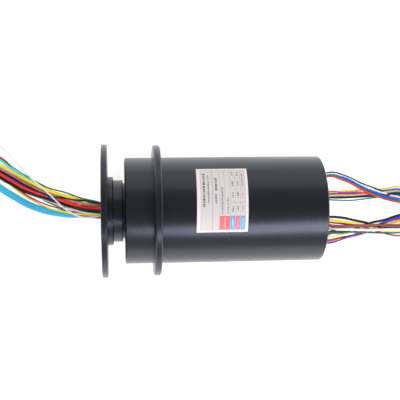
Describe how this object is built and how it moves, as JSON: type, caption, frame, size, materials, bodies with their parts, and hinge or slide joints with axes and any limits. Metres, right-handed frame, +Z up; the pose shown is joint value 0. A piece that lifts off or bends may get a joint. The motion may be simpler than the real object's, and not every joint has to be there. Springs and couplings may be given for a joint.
{
  "type": "slip ring",
  "caption": "Through-flange electrical slip ring: cylindrical housing with a mounting flange, a flanged rotor that spins freely, and colour-coded leads from both ends.",
  "frame": {"origin": "on the turning axis, at the rear face of the housing's flange", "axes": "+X along the turning axis towards the end where the housing's leads come out, +Z up through the label"},
  "size_m": [0.5055, 0.1154, 0.108],
  "materials": {
    "black_anodised": "satin black anodised",
    "machined_aluminium": "turned",
    "black_screw": "black oxide",
    "block_plastic": "moulded",
    "carbon_brush": "pressed carbon",
    "gold_wire": "gold plated",
    "brass_ring": "turned",
    "gold_ring": "gold plated",
    "black_plastic": "moulded",
    "sleeve_plastic": "turned laminate",
    "board": "solder mask",
    "lead_plastic": "mixed insulation colours",
    "black_rubber": "moulded",
    "bearing_steel": "ground",
    "label_paper": "printed film",
    "cyan_jacket": "smooth jacket",
    "tie_nylon": "natural nylon"
  },
  "bodies": {
    "stator": {"front_housing": "black_anodised", "housing_tube": "black_anodised", "rear_cover": "black_anodised", "tie_rods": "machined_aluminium", "cover_screws": "black_screw", "brush_block_1": "block_plastic", "brush_block_2": "block_plastic", "brush_block_3": "block_plastic", "brush_block_4": "block_plastic", "power_brushes": "carbon_brush", "brush_wires": "gold_wire", "terminal_board": "board", "inner_leads": "lead_plastic", "lead_grommets": "black_rubber", "front_bearing_outer": "bearing_steel", "rear_bearing_outer": "bearing_steel", "bearing_circlip": "black_screw", "dust_seal": "black_rubber", "label": "label_paper", "stator_leads_1": "lead_plastic", "stator_leads_2": "lead_plastic", "stator_leads_3": "lead_plastic", "stator_leads_4": "lead_plastic", "stator_lead_coil": "lead_plastic", "stator_coil_ties": "tie_nylon"},
    "rotor": {"rotor_hub": "black_anodised", "rotor_flange": "black_anodised", "rotor_flange_screws": "black_screw", "front_bearing_inner": "bearing_steel", "rear_bearing_inner": "bearing_steel", "shaft_circlips": "black_screw", "ring_sleeve": "sleeve_plastic", "stack_nut": "machined_aluminium", "rear_spacer": "machined_aluminium", "power_rings": "brass_ring", "signal_rings": "gold_ring", "ring_insulators": "black_plastic", "rotor_harness": "lead_plastic", "rotor_gland": "black_rubber", "data_cable": "cyan_jacket", "rotor_leads_upper": "lead_plastic", "rotor_leads_lower": "lead_plastic", "rotor_lead_coil": "lead_plastic", "rotor_coil_ties": "tie_nylon"},
    "front_balls": {"front_balls": "bearing_steel", "front_cage": "brass_ring"},
    "rear_balls": {"rear_balls": "bearing_steel", "rear_cage": "brass_ring"}
  },
  "joints": [
    {"name": "rotor_spin", "type": "hinge", "parent": "stator", "child": "rotor", "pos_m": [0, 0, 0], "axis": [1, 0, 0], "continuous": true},
    {"name": "front_balls_orbit", "type": "hinge", "parent": "stator", "child": "front_balls", "pos_m": [0, 0, 0], "axis": [1, 0, 0], "continuous": true},
    {"name": "rear_balls_orbit", "type": "hinge", "parent": "stator", "child": "rear_balls", "pos_m": [0, 0, 0], "axis": [1, 0, 0], "continuous": true}
  ],
  "couplings": [
    {"joint": "front_balls_orbit", "follows": "rotor_spin", "ratio": 0.4389},
    {"joint": "rear_balls_orbit", "follows": "rotor_spin", "ratio": 0.4542}
  ]
}
